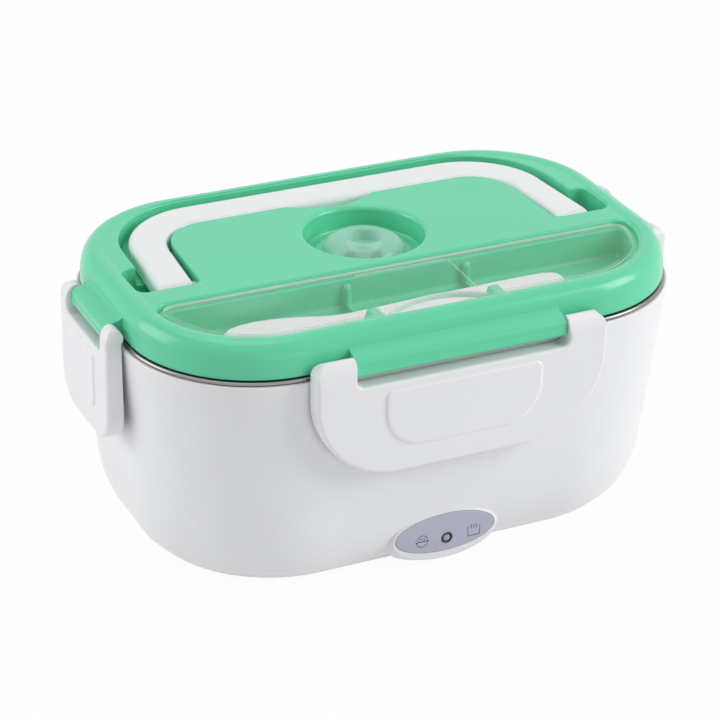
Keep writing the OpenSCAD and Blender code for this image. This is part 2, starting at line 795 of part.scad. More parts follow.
module latch_tabs() {
    at_front() latch_tab(tab_long);
    at_back() latch_tab(tab_long);
    at_left() latch_tab(tab_short);
    at_right() latch_tab(tab_short);
}

module finger_plan(g) {
    translate([0, grip_y - grip_w - slot + join - finger_w / 2 + over])
        rrect(finger_l + 2 * g, finger_w + 2 * g, 3 + g);
}

module lid_shell() color(mint) {
    t = lid_t - 0.4;
    under = lid_top - over;
    difference() {
        union() {
            difference() {
                lid_dome(0, lid_z);
                lid_dome(lid_t, lid_z - over);
            }
            // web and rib that hold the gasket
            band(lid_l - over, lid_w - over, lid_r - over / 2, rib_out + rib_t - over / 2,
                 web_z, web_z + web_t);
            band(lid_l - 2 * rib_out, lid_w - 2 * rib_out, lid_r - rib_out, rib_t,
                 lid_z + 0.4, web_z + web_t);
            // walls of the channel, the leg pockets, the valve well and the recess
            translate([0, 0, channel_z - t]) linear_extrude(under - channel_z + t)
                handle_plan(slot + t, slot_out + t);
            translate([0, 0, swing_z - t]) linear_extrude(under - swing_z + t)
                swing_plan(t);
            for (s = [-1, 1])
                translate([s * (leg_in - slot - boss_w / 2), pivot_y, (pivot_z + deck_z) / 2 - 3])
                    cube([boss_w, 2 * boss_w, deck_z - pivot_z + 6], center = true);
            translate([0, valve_y, well_z - t]) cylinder(r = well_r + t, h = under - well_z + t);
            translate([0, 0, pocket_z - t]) linear_extrude(under - pocket_z + t)
                recess_plan(pocket_in - t);
            translate([0, 0, cover_top - cover_t - t])
                linear_extrude(under - cover_top + cover_t + t) recess_plan(-t);
            translate([0, 0, finger_z - t]) linear_extrude(under - finger_z + t)
                finger_plan(t);
        }
        // the middle lies a little below the crest
        block(lid_l - 2 * recess_in + 2, lid_w - 2 * recess_in + 2, lid_r - recess_in + 1,
              deck_z, lid_top + over);
        translate([0, 0, channel_z]) linear_extrude(lid_h) handle_plan(slot, slot_out);
        translate([0, 0, swing_z]) linear_extrude(lid_h) swing_plan(0);
        for (s = [-1, 1]) translate([s * leg_in, pivot_y, pivot_z]) rotate([0, 90, 0])
            cylinder(r = stud_r + slide_gap, h = 4 * boss_w, center = true);
        translate([0, valve_y, 0]) rotate_extrude() polygon([
            [0, well_z], [well_r, well_z], [well_r, deck_z - 1.7],
            [well_r + 0.6, deck_z - 0.6], [well_r + 2, deck_z],
            [well_r + 2, lid_top + over], [0, lid_top + over]
        ]);
        translate([0, valve_y, well_z - 5]) cylinder(r = stem_r, h = 10);
        translate([0, 0, pocket_z]) linear_extrude(lid_h + recess_d) recess_plan(pocket_in);
        translate([0, 0, cover_top - cover_t]) linear_extrude(lid_h) recess_plan(0);
        translate([0, 0, finger_z]) linear_extrude(lid_h) finger_plan(0);
    }
    latch_tabs();
    // ribs and prongs that hold the spoon
    for (s = [-1, 1]) translate([rest_mid + s * rest_x, 0, 0]) {
        translate([0, -recess_y - pocket_in, pocket_z - join])
            cylinder(r = rest_r, h = rest_h);
        translate([-rest_r / 2, spoon_y - 7, pocket_z - join])
            cube([rest_r, -recess_y - pocket_in - spoon_y + 7, spoon_low + join]);
        translate([0, spoon_y - 6.2, pocket_z - join]) rotate([90, 0, 0])
            linear_extrude(lid_w / 2 - recess_in - pocket_in + spoon_y - 6.2 + 0.3)
                polygon([[-5, 0], [5, 0], [2, prong_h], [-2, prong_h]]);
    }
}

module lid_gasket() color([0.93, 0.94, 0.94])
    band(lid_l - 2 * lid_t - 0.4, lid_w - 2 * lid_t - 0.4, lid_r - lid_t - 0.2,
         rib_out - lid_t - 0.4, flange_z, web_z);

module carry_handle() color(white) {
    difference() {
        translate([0, 0, handle_low]) linear_extrude(handle_t) handle_plan(0, 0);
        // the legs' ends roll down to the front
        translate([0, leg_end, handle_top]) rotate([90, 0, 90])
            linear_extrude(2 * handle_l, center = true) polygon(concat(
                [[-over, over], [-over, -leg_roll]],
                [for (a = [0:15:90]) [leg_roll * (1 - cos(a)), -leg_roll * (1 - sin(a))]],
                [[leg_roll, over]]
            ));
    }
    for (s = [-1, 1]) translate([s * (leg_in + join / 2 - stud_l / 2), pivot_y, pivot_z])
        rotate([0, 90, 0]) cylinder(r = stud_r, h = stud_l + join, center = true);
}

module cutlery_cover() color(clear) {
    front = lid_w / 2 - recess_in - 0.4;
    difference() {
        translate([0, 0, cover_top - cover_t]) linear_extrude(cover_t) recess_plan(0.4);
        translate([0, -front - notch_r + notch_d, cover_top - 2 * cover_t])
            cylinder(r = notch_r, h = 4 * cover_t);
    }
}

module spoon() color([0.93, 0.93, 0.94]) {
    low = pocket_z + 0.2;
    bowl_x = -spoon_l / 2 - 9 + spoon_r;
    tip_x = spoon_l / 2 - 9;
    difference() {
        union() {
            translate([bowl_x, spoon_y, low]) rotate_extrude() polygon([
                [0, 0], [spoon_r * 0.6, 0.3], [spoon_r * 0.9, 2.2], [spoon_r, 4.2],
                [0, 4.2]
            ]);
            translate([bowl_x + spoon_r - 6, spoon_y - 3.4, pocket_z + spoon_low + 0.05])
                cube([tip_x - 5 - bowl_x - spoon_r + 6, 6.8, spoon_t]);
            translate([tip_x - 5, spoon_y, pocket_z + spoon_low + 0.05])
                cylinder(r = 5, h = spoon_t);
        }
        translate([bowl_x, spoon_y, low + spoon_t / 2]) rotate_extrude() polygon([
            [0, 0], [spoon_r * 0.55, 0.3], [spoon_r * 0.82, 2.2], [spoon_r - 1.4, 4.2],
            [0, 4.2]
        ]);
    }
}

module steam_valve() color(frosted) translate([0, valve_y, 0]) rotate_extrude() polygon([
    [0, well_z - 4.5], [stem_r - 1, well_z - 4.5], [stem_r - 0.1, well_z - 3.5],
    [stem_r - 0.1, well_z + 0.1], [dome_r, well_z + 0.1], [dome_r, well_z + 1],
    [dome_r - 0.8, well_z + 1.8], [dome_r - 3, well_z + 2.4], [dome_r - 3.4, well_z + 4.2],
    [dome_r - 5, well_z + 6.1], [dome_r - 7.6, well_z + 7.3], [cup_r + 1.6, well_z + 7.9],
    [cup_r, well_z + 7.7], [cup_r - 0.4, well_z + 3], [0, well_z + 3]
]);

// ---- Latches ----

module latch_face(half, r, inset) {
    low = latch_bottom + inset;
    wide = half - inset;
    cr = r - inset;
    top = hinge_z + ear_r;
    translate([-wide, low + cr]) square([2 * wide, top - ear_top_r - low - cr]);
    translate([-wide + cr, low]) square([2 * (wide - cr), cr + 1]);
    translate([-wide + ear_top_r, low + cr])
        square([2 * (wide - ear_top_r), top - low - cr]);
    for (s = [-1, 1]) {
        translate([s * (wide - cr), low + cr]) circle(cr);
        translate([s * (wide - ear_top_r), top - ear_top_r]) circle(ear_top_r);
    }
}

// Raised field on a latch, round at its lower corners
module latch_field(half, r) {
    high = notch_z - 3.5;
    low = latch_bottom + 10.5;
    translate([-half, low + r]) square([2 * half, high - low - r]);
    translate([-half + r, low]) square([2 * (half - r), r + 1]);
    for (s = [-1, 1]) translate([s * (half - r), low + r]) circle(r);
}

function bore_deep(half, tab) = min(ear_deep, half - tab - tab_side - 1.8);

module latch(half, tab, r, field) {
    inner = tab + tab_side;
    difference() {
        intersection() {
            outwards(latch_in - 3, latch_out) latch_face(half, r, 0);
            // rounded about the hinge at the top, flat below it
            union() {
                translate([0, -hinge_out, hinge_z]) rotate([0, 90, 0])
                    cylinder(r = ear_r, h = 2 * half + over, center = true);
                along(2 * half + over) polygon([
                    [latch_in, latch_bottom - over], [latch_out, latch_bottom - over],
                    [latch_out, hinge_z], [latch_in, hinge_z]
                ]);
            }
        }
        intersection() {
            outwards(latch_in - 5, latch_out - latch_t) latch_face(half, r, rim_wall);
            translate([-half, -latch_out - over, latch_bottom - over])
                cube([2 * half, 2 * latch_out, notch_z - rim_wall - latch_bottom + over]);
        }
        translate([-inner, -latch_out - over, notch_z])
            cube([2 * inner, 3 * latch_out, 3 * ear_r + hinge_z - notch_z]);
        translate([0, -hinge_out, hinge_z]) rotate([0, 90, 0])
            cylinder(r = hinge_pin_r + slide_gap, h = 2 * (inner + bore_deep(half, tab)),
                     center = true);
    }
    // hook under the catch
    along(field * 1.3) polygon([
        [catch_u - bite, catch_z - 1.5], [catch_u - bite, catch_z],
        [catch_u + 0.7, catch_z + bite + 0.7], [latch_out - latch_t + join, catch_z + bite + 0.7],
        [latch_out - latch_t + join, catch_z - 4.6], [catch_u, catch_z - 3.4]
    ]);
    outwards(latch_out - join, latch_out + emboss) latch_field(field, 0.48 * field);
}

module long_latch() { latch(latch_long, tab_long, long_r, field_long); }
module short_latch() { latch(latch_short, tab_short, short_r, field_short); }

module latch_pin(half, tab) color(steel) {
    translate([0, -hinge_out, hinge_z]) rotate([0, 90, 0])
        cylinder(r = hinge_pin_r, h = 2 * (tab + tab_side + bore_deep(half, tab)) - 1,
                 center = true);
}

module latch_front() color(white) at_front() long_latch();
module latch_back() color(white) at_back() long_latch();
module latch_left() color(white) at_left() short_latch();
module latch_right() color(white) at_right() short_latch();
module latch_pin_front() at_front() latch_pin(latch_long, tab_long);
module latch_pin_back() at_back() latch_pin(latch_long, tab_long);
module latch_pin_left() at_left() latch_pin(latch_short, tab_short);
module latch_pin_right() at_right() latch_pin(latch_short, tab_short);

housing_shell();
inner_well();
heater_plate();
ptc_heater();
heater_bracket();
heater_screws();
thermostat();
thermal_fuse();
base_cover();
base_screws();
rubber_feet();
power_inlet();
inlet_pins();
indicator_panel();
led_lamp();
led_bezel();
led_board();
wiring();
steel_container();
side_tray();
lid_shell();
lid_gasket();
carry_handle();
cutlery_cover();
spoon();
steam_valve();
latch_front();
latch_back();
latch_left();
latch_right();
latch_pin_front();
latch_pin_back();
latch_pin_left();
latch_pin_right();
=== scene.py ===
import math
import bmesh
import bpy
from mathutils import Matrix, Vector


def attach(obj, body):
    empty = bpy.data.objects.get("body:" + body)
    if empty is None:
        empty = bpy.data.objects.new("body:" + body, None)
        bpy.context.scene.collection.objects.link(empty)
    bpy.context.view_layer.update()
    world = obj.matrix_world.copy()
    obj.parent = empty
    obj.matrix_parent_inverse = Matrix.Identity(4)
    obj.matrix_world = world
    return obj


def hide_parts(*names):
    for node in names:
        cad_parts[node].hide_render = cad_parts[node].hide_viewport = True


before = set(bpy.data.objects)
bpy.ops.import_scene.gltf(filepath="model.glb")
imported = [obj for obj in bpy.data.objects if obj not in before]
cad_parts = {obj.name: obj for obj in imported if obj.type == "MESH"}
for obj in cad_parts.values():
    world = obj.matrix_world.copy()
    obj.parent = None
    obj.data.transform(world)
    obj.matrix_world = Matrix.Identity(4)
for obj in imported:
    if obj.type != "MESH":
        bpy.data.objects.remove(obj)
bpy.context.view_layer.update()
print("frame loaded,", len(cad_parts), "nodes")

mm = 0.001  # every shape below is written in millimetres


# outlines, as lists of points in a plane

def arc(cx, cy, r, start, end, steps):
    turn = [math.radians(start + (end - start) * i / steps) for i in range(steps + 1)]
    return [(cx + r * math.cos(t), cy + r * math.sin(t)) for t in turn]


def radians(*angles):
    return [math.radians(a) for a in angles]


def circle(cx, cy, r, steps=48):
    return arc(cx, cy, r, 0, 360 - 360 / steps, steps - 1)


def ellipse(a, b, cx, cy):
    return [(cx + a * x, cy + b * y) for x, y in circle(0, 0, 1, 96)]


def roundedBox(l, w, r, cx=0, cy=0, steps=14):
    points = []
    for k, (sx, sy) in enumerate(((1, 1), (-1, 1), (-1, -1), (1, -1))):
        points += arc(cx + sx * (l / 2 - r), cy + sy * (w / 2 - r), r, 90 * k, 90 * k + 90, steps)
    return points


def softPolygon(corners, steps):  # corners are (x, y, radius)
    points = []
    for k, (x, y, r) in enumerate(corners):
        here = Vector((x, y))
        a = (Vector(corners[k - 1][:2]) - here).normalized()
        b = (Vector(corners[(k + 1) % len(corners)][:2]) - here).normalized()
        half = a.angle(b) / 2
        reach = r / math.tan(half)
        middle = here + (a + b).normalized() * (r / math.sin(half))
        first, last = here + a * reach - middle, here + b * reach - middle
        turn = first.angle_signed(last) if r > 0 else 0
        for i in range(steps + 1):
            t = -turn * i / steps
            p = Vector((first.x * math.cos(t) - first.y * math.sin(t),
                        first.x * math.sin(t) + first.y * math.cos(t)))
            points.append(tuple(middle + p))
    return points


def level(outline, z):
    return [(x, y, z) for x, y in outline]


def upright(outline, y):  # an outline of (x, z) standing at depth y
    return [(x, y, z) for x, z in outline]


def across(outline, x):  # a profile of (y, z) at a distance x
    return [(x, y, z) for y, z in outline]


# modelling steps; each leaves its piece at the origin

def pick(piece):
    bpy.ops.object.select_all(action="DESELECT")
    piece.select_set(True)
    bpy.context.view_layer.objects.active = piece


def loft(name, rings, closed=False):
    # a circle is extruded ring by ring, and each ring's points go to their places
    bpy.ops.object.select_all(action="DESELECT")
    bpy.ops.mesh.primitive_circle_add(vertices=len(rings[0]), radius=0.01, fill_type="NOTHING")
    piece = bpy.context.object
    piece.name = piece.data.name = name
    bpy.ops.object.mode_set(mode="EDIT")
    bpy.ops.mesh.select_mode(type="VERT")
    mesh = bmesh.from_edit_mesh(piece.data)
    spot = mesh.verts.layers.int.new("spot")
    for i, v in enumerate(mesh.verts):
        v[spot] = i
    for k, ring in enumerate(rings):
        if k:
            bpy.ops.mesh.extrude_edges_move()
        mesh = bmesh.from_edit_mesh(piece.data)
        spot = mesh.verts.layers.int["spot"]
        for v in mesh.verts:
            if v.select:
                v.co = Vector(ring[v[spot]]) * mm
    bpy.ops.mesh.select_all(action="SELECT")
    bpy.ops.mesh.remove_doubles(threshold=1e-6)
    if not closed:
        bpy.ops.mesh.fill_holes(sides=0)
    bpy.ops.mesh.normals_make_consistent(inside=False)
    bpy.ops.object.mode_set(mode="OBJECT")
    piece.location = (0, 0, 0)
    piece.data.attributes.remove(piece.data.attributes["spot"])
    return piece


def spinProfile(name, profile, centre, steps):  # profile of (radius, z), turned about z
    rings = [level(circle(centre[0], centre[1], max(r, 0.001), steps), z) for r, z in profile]
    return loft(name, rings)


def barAlong(name, x0, x1, profile):  # a straight bar with its profile of (y, z)
    return loft(name, [across(profile, x0), across(profile, x1)])


def apply(piece, kind, **settings):
    pick(piece)
    modifier = piece.modifiers.new("step", kind)
    for key, value in settings.items():
        setattr(modifier, key, value)
    bpy.ops.object.modifier_apply(modifier=modifier.name)
    return piece


def softenEdges(piece, width, segments, angle=40):
    return apply(piece, "BEVEL", width=width * mm, segments=segments, limit_method="ANGLE",
                 angle_limit=math.radians(angle), use_clamp_overlap=True)


def combine(piece, tools, way="DIFFERENCE"):
    for tool in tools:
        apply(piece, "BOOLEAN", operation=way, solver="EXACT", object=tool)
        bpy.data.objects.remove(tool)
    return piece


def joined(name, parts):
    pick(parts[0])
    for part in parts:
        part.select_set(True)
    bpy.ops.object.join()
    parts[0].name = parts[0].data.name = name
    return parts[0]


def turned(piece, degrees):
    piece.data.transform(Matrix.Rotation(math.radians(degrees), 4, "Z"))
    return piece


def shifted(piece, depth):
    piece.data.transform(Matrix.Translation((0, depth * mm, 0)))
    return piece


def copied(piece, name):
    other = piece.copy()
    other.data = piece.data.copy()
    other.name = other.data.name = name
    bpy.context.collection.objects.link(other)
    return other


def smooth(piece, angle=32):
    pick(piece)
    bpy.ops.object.mode_set(mode="EDIT")
    bpy.ops.mesh.select_all(action="SELECT")
    bpy.ops.mesh.remove_doubles(threshold=2e-6)
    bpy.ops.object.mode_set(mode="OBJECT")
    bpy.ops.object.shade_smooth_by_angle(angle=math.radians(angle), keep_sharp_edges=True)
    apply(piece, "WEIGHTED_NORMAL", mode="FACE_AREA_WITH_ANGLE", keep_sharp=True)
    return piece


def place(piece, body, material, slot, *nodes):
    piece.data.materials.clear()
    piece.data.materials.append(material)
    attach(piece, body)
    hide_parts(*nodes)
    print("made", piece.name, len(piece.data.polygons), "faces")
    return piece


# materials; all patterns use object coordinates

class Wire:  # a socket in a material; sums of wires add Math nodes
    def __init__(self, tree, socket=None):
        self.tree, self.socket = tree, socket

    def add(self, kind, settings={}, inputs={}, output=0):
        node = self.tree.nodes.new("ShaderNode" + kind)
        for name, value in settings.items():
            setattr(node, name, value)
        for name, value in inputs.items():
            if isinstance(value, Wire):
                self.tree.links.new(value.socket, node.inputs[name])
            else:
                node.inputs[name].default_value = value
        return Wire(self.tree, node.outputs[output]) if len(node.outputs) else None

    def sum(self, operation, *values):
        return self.add("Math", {"operation": operation}, dict(enumerate(values)))

    def __add__(self, other):
        return self.sum("ADD", self, other)

    def __radd__(self, other):
        return self.sum("ADD", other, self)

    def __sub__(self, other):
        return self.sum("SUBTRACT", self, other)

    def __rsub__(self, other):
        return self.sum("SUBTRACT", other, self)

    def __mul__(self, other):
        return self.sum("MULTIPLY", self, other)

    def __abs__(self):
        return self.sum("ABSOLUTE", self)

    def noise(self, spot, scale, detail, rough=0.5):
        return self.add("TexNoise", {}, {"Vector": spot, "Scale": scale, "Detail": detail,
                                         "Roughness": rough})

    def between(self, first, second, amount):  # a colour between two
        return self.add("Mix", {"data_type": "RGBA"}, {6: first, 7: second, 0: amount}, 2)

    def seen(self):  # 1 for what the camera sees, also in a gloss or through clear plastic
        rays = [self.add("LightPath", output=k)
                for k in ("Is Camera Ray", "Is Glossy Ray", "Is Transmission Ray")]
        return self.sum("MAXIMUM", self.sum("MAXIMUM", rays[0], rays[1]), rays[2])


def newMaterial(name):
    material = bpy.data.materials.new(name)
    material.use_nodes = True
    material.node_tree.nodes.clear()
    return material, Wire(material.node_tree)


def finished(material, start, shader):
    start.add("OutputMaterial", {}, {"Surface": shader})
    return material


def tint(colour, factor):
    return tuple(min(1, c * factor) for c in colour[:3]) + (1,)


plasticIor = 1.46  # how strongly plastic and silicone bend light


def moulded(name, look):
    # moulded plastic or rubber: faint clouds in the colour, fine grain, uneven gloss
    material, start = newMaterial(name)
    spot = start.add("TexCoord", output="Object")
    cloud = start.noise(spot, look.get("cloudScale", 28), 3)
    grain = start.noise(spot, look.get("grainScale", 2600), 2)
    flow = start.noise(spot, 260, 4, 0.6)
    colour = start.between(tint(look["colour"], 1 - look.get("cloud", 0.02)),
                           tint(look["colour"], 1 + look.get("cloud", 0.02)), cloud)
    rough = look["rough"] + (flow - 0.5) * look.get("haze", 0.08) + (cloud - 0.5) * 0.04
    bump = start.add("Bump", {}, {"Height": grain, "Strength": look.get("bump", 0.02),
                                  "Distance": 0.0001})
    inputs = {"Base Color": colour, "Roughness": rough, "Normal": bump, "IOR": plasticIor}
    for key in ("Coat Weight", "Subsurface Weight", "Subsurface Scale"):
        if key in look:
            inputs[key] = look[key]
    return finished(material, start, start.add("BsdfPrincipled", {}, inputs))


def brushed(name, look):
    # metal with fine lines along one axis, and clouded roughness
    material, start = newMaterial(name)
    spot = start.add("TexCoord", output="Object")
    lines = start.add("Mapping", {}, {"Vector": spot, "Scale": look["stretch"]})
    streak = start.noise(lines, 900, 3, 0.6)
    cloud = start.noise(spot, 40, 3)
    colour = start.between(tint(look["colour"], 0.9), tint(look["colour"], 1.06),
                           streak * 0.7 + cloud * 0.3)
    rough = look["rough"] + (streak - 0.5) * 0.14 + (cloud - 0.5) * 0.08
    bump = start.add("Bump", {}, {"Height": streak, "Strength": 0.05, "Distance": 0.0001})
    return finished(material, start, start.add("BsdfPrincipled", {}, {
        "Base Color": colour, "Roughness": rough, "Normal": bump, "Metallic": 1.0}))


def clear(name, look):
    # clear plastic: walls and edges get a lighter colour, a painted highlight, and let less light
    # through; flat areas let it through
    material, start = newMaterial(name)
    spot = start.add("TexCoord", output="Object")
    facing = start.add("LayerWeight", {}, {"Blend": 0.35}, "Facing")
    normal = start.add("NewGeometry", output="Normal")
    wall = 1 - abs(start.add("SeparateXYZ", {}, {0: normal}, "Z"))
    cloud = start.noise(spot, 60, 3)
    scuff = start.noise(spot, 900, 4, 0.7)
    alpha = look["alpha"] + facing * look["facing"] + wall * look["wall"] + (cloud - 0.5) * 0.04
    # upright walls take the lighter edge colour: a painted highlight where they would catch the
    # light
    colour = start.between(look["colour"], look["edge"], wall)
    bump = start.add("Bump", {}, {"Height": cloud * 0.8 + scuff * 0.2, "Strength": 0.08,
                                  "Distance": 0.0003})
    return finished(material, start, start.add("BsdfPrincipled", {}, {
        "Base Color": colour, "Roughness": look["rough"] + (scuff - 0.5) * 0.06,
        "Alpha": alpha, "Normal": bump, "IOR": plasticIor, "Coat Weight": look.get("coat", 0.0)}))


whitePlastic = moulded("whitePlastic", {"colour": (0.86, 0.868, 0.885), "rough": 0.3,
                                        "cloud": 0.012, "bump": 0.03})
glossWhite = moulded("glossWhite", {"colour": (0.87, 0.88, 0.89), "rough": 0.2, "cloud": 0.01,
                                    "bump": 0.02})
mintPlastic = moulded("mintPlastic", {"colour": (0.125, 0.68, 0.395), "rough": 0.22,
                                      "cloud": 0.02, "haze": 0.04, "bump": 0.02})
spoonWhite = moulded("spoonWhite", {"colour": (0.92, 0.86, 0.88), "rough": 0.3})
panelGrey = moulded("panelGrey", {"colour": (0.47, 0.49, 0.60), "rough": 0.34, "cloud": 0.03,
                                  "grainScale": 5000, "bump": 0.12})
inkDark = moulded("inkDark", {"colour": (0.03, 0.03, 0.045), "rough": 0.4})
darkPlastic = moulded("darkPlastic", {"colour": (0.02, 0.02, 0.024), "rough": 0.3, "bump": 0.1})
rubber = moulded("rubber", {"colour": (0.035, 0.035, 0.037), "rough": 0.75, "bump": 0.25})
gasketSilicone = moulded("gasketSilicone", {"colour": (0.80, 0.86, 0.84), "rough": 0.45,
                                            "Subsurface Weight": 0.1, "Subsurface Scale": 0.004})
lampLens = moulded("lampLens", {"colour": (0.42, 0.38, 0.46), "rough": 0.25, "cloud": 0.15,
                                "cloudScale": 900, "Coat Weight": 0.3})
amberFilm = moulded("amberFilm", {"colour": (0.55, 0.27, 0.04), "rough": 0.3, "haze": 0.2})
ceramic = moulded("ceramic", {"colour": (0.62, 0.58, 0.50), "rough": 0.65, "bump": 0.3})
boardGreen = moulded("boardGreen", {"colour": (0.02, 0.16, 0.07), "rough": 0.35})
wireRed = moulded("wireRed", {"colour": (0.5, 0.02, 0.02), "rough": 0.4})
polishedSteel = brushed("polishedSteel", {"colour": (0.30, 0.28, 0.285), "rough": 0.22,
                                          "stretch": (1, 1, 12)})
satinSteel = brushed("satinSteel", {"colour": (0.62, 0.62, 0.63), "rough": 0.32,
                                    "stretch": (1, 8, 8)})
aluminium = brushed("aluminium", {"colour": (0.76, 0.76, 0.77), "rough": 0.38,
                                  "stretch": (1, 14, 1)})
# each edge colour below is the painted highlight that the walls get
clearCover = clear("clearCover", {"colour": (0.80, 0.93, 0.90, 1), "edge": (0.93, 0.97, 0.96, 1),
                                  "alpha": 0.03, "facing": 0.06, "wall": 0.5, "rough": 0.07})
valveSilicone = clear("valveSilicone", {"colour": (0.50, 0.88, 0.74, 1),
                                        "edge": (0.60, 0.90, 0.80, 1), "alpha": 0.36,
                                        "facing": 0.3, "wall": 0.12, "rough": 0.22, "coat": 0.3})
print("materials made")


# sizes that the pieces share

rim = {"l": 221, "w": 145, "r": 51, "z": 90, "leanX": 6.2, "leanY": 4.8, "grow": 5, "tuckZ": 22,
       "tuck": 3.6, "creaseZ": 6.5, "bevel": 4.7, "footZ": 1.2}
lid = {"l": 217, "w": 141, "r": 49, "top": 105.5, "deck": 105, "sideY": 2.5}
hinge = {"out": 4.7, "z": 95.6, "bore": 1.36}  # a latch's pin, out from the lid's edge
pivot = {"y": -1.5, "z": 99.5, "bore": 2.26, "stud": 2.2}
valveY, wellRadius, wellFloor, scallopFloor = 8.5, 23.4, 95, 98.6
handle = {"out": 88.1, "inner": 73.6, "end": -7, "arcX": 55.1, "outerR": 33, "innerR": 18.5,
          "low": 97.3, "high": 104.8, "splay": 2.8}
pocket = {"l": 25, "w": 21.5, "r": 4, "x": 86.5, "y": 1.75, "floor": 92.9}
channel = {"gap": 1.2, "wide": 2.4, "splay": 1.8, "floor": 97}
recess = {"back": -26, "endX": 59.5, "midY": -21.5, "r": 39, "corner": 5.5, "floor": 90.5,
          "ledge": 102}
spoonPosts = (-22, 28)


def tuckIn(z):
    if z >= rim["tuckZ"]:
        return 0
    if z >= rim["creaseZ"]:
        return rim["tuck"] * ((rim["tuckZ"] - z) / (rim["tuckZ"] - rim["creaseZ"])) ** 2
    return rim["tuck"] + rim["bevel"] * (rim["creaseZ"] - z) / (rim["creaseZ"] - rim["footZ"])


def housingAt(z, inset):
    lean = 1 - z / rim["z"]
    return roundedBox(rim["l"] - 2 * (rim["leanX"] * lean + tuckIn(z) + inset),
                      rim["w"] - 2 * (rim["leanY"] * lean + tuckIn(z) + inset),
                      rim["r"] + rim["grow"] * lean - tuckIn(z) - inset, steps=20)


def rimBox(inset):
    return roundedBox(rim["l"] - 2 * inset, rim["w"] - 2 * inset, rim["r"] - inset, steps=20)


def lidBox(inset):
    return roundedBox(lid["l"] - 2 * inset, lid["w"] - 2 * inset, lid["r"] - inset, steps=20)


housing = {"padX": -0.8, "padY": -68.94, "padZ": 11.7, "padL": 22.3, "padH": 10.5,
           "panelL": 20.7, "panelH": 8, "panelZ": 12.6, "inletY": 69.54, "inletZ": 17,
           "catchLong": 44, "catchShort": 20}


def pinBore(edge):
    return circle(-edge - hinge["out"], hinge["z"], hinge["bore"], 24)


def panelOutline(g):
    return ellipse(housing["panelL"] + g, housing["panelH"] + g, housing["padX"],
                   housing["panelZ"])


def makeHousing():
    outer = [1.2, 1.5, 2.2, 4, 5.6, 6.3, 6.9, 8, 10, 12.5, 15, 17.5, 20, 22, 26, 34, 46, 60, 74,
             84, 88.7]
    rings = [level(housingAt(z, 0.25 if z == 1.2 else 0), z) for z in outer]
    rings += [level(housingAt(89.5, 0.1), 89.5), level(housingAt(89.9, 0.4), 89.9),
              level(rimBox(0.75), 90), level(rimBox(1.1), 90), level(rimBox(1.1), 88.4),
              level(rimBox(2.2), 88.4)]
    rings += [level(housingAt(z, 2.2), z) for z in (60, 22, 15, 10, 6.5, 1.2)]
    rings.append(rings[0])
    shell = loft("housing", rings, closed=True)

    # raised oval for the indicator, flared where it leaves the wall
    y, z = housing["padY"], housing["padZ"]
    steps = [(9, 3.0), (4.2, 2.6), (2.6, 1.3), (1.7, 0.55), (1.0, 0.12), (0.55, -0.1),
             (0.2, -0.4), (0.03, -0.8), (0, -1.3)]
    pad = loft("pad", [upright(ellipse(housing["padL"] + g, housing["padH"] + g * 0.75,
                                        housing["padX"], z), y + d) for d, g in steps])
    # the pad keeps above the base
    floorCut = loft("cut", [level(roundedBox(400, 300, 10), h) for h in (-30, 1.2)])
    combine(pad, [floorCut])
    well = loft("cut", [level(housingAt(h, 2.2), h) for h in (-2, 1.2, 6.5, 10, 15, 22, 60)])
    combine(pad, [well])
    combine(shell, [pad], "UNION")
    seat = loft("cut", [upright(panelOutline(g), y + d) for d, g in
                        ((0.8, 0.12), (0.25, 0.12), (0.05, 0.25), (-0.06, 0.45), (-2, 0.45))])
    combine(shell, [seat])

    # boss and hole for the cord's inlet at the back
    y, z = housing["inletY"], housing["inletZ"]
    boss = loft("boss", [upright(roundedBox(32 + 2 * g, 20.5 + 2 * g, 6 + g, 0, z, 8), y + d)
                         for d, g in ((-3.4, 1.6), (-2, 1.5), (-1, 0.7), (-0.4, 0.1), (-0.1, -0.3),
                                      (0, -0.8))])
    combine(shell, [boss], "UNION")
    hole = loft("cut", [upright(roundedBox(22, 12.5, 3, 0, z, 8), y + d) for d in (-12, 3)])
    combine(shell, [hole])

    # catches under the latches' hooks
    parts = [shell]
    catch = [(-0.9, 73.7, 0.1), (4.3, 80.95, 0.3), (4.3, 82.2, 0.3), (-0.9, 85.5, 0.1)]
    for angle, edge, length in ((0, lid["w"] / 2, housing["catchLong"]),
                                (180, lid["w"] / 2, housing["catchLong"]),
                                (-90, lid["l"] / 2, housing["catchShort"]),
                                (90, lid["l"] / 2, housing["catchShort"])):
        profile = softPolygon([(-edge - u, h, r) for u, h, r in catch], 3)
        catchBar = turned(barAlong("catch", -length / 2, length / 2, profile), angle)
        parts.append(shifted(catchBar, 0 if abs(angle) != 90 else lid["sideY"]))
    piece = smooth(joined("housing", parts), 34)
    return place(piece, "housing", whitePlastic, "white_plastic", "housing_shell")


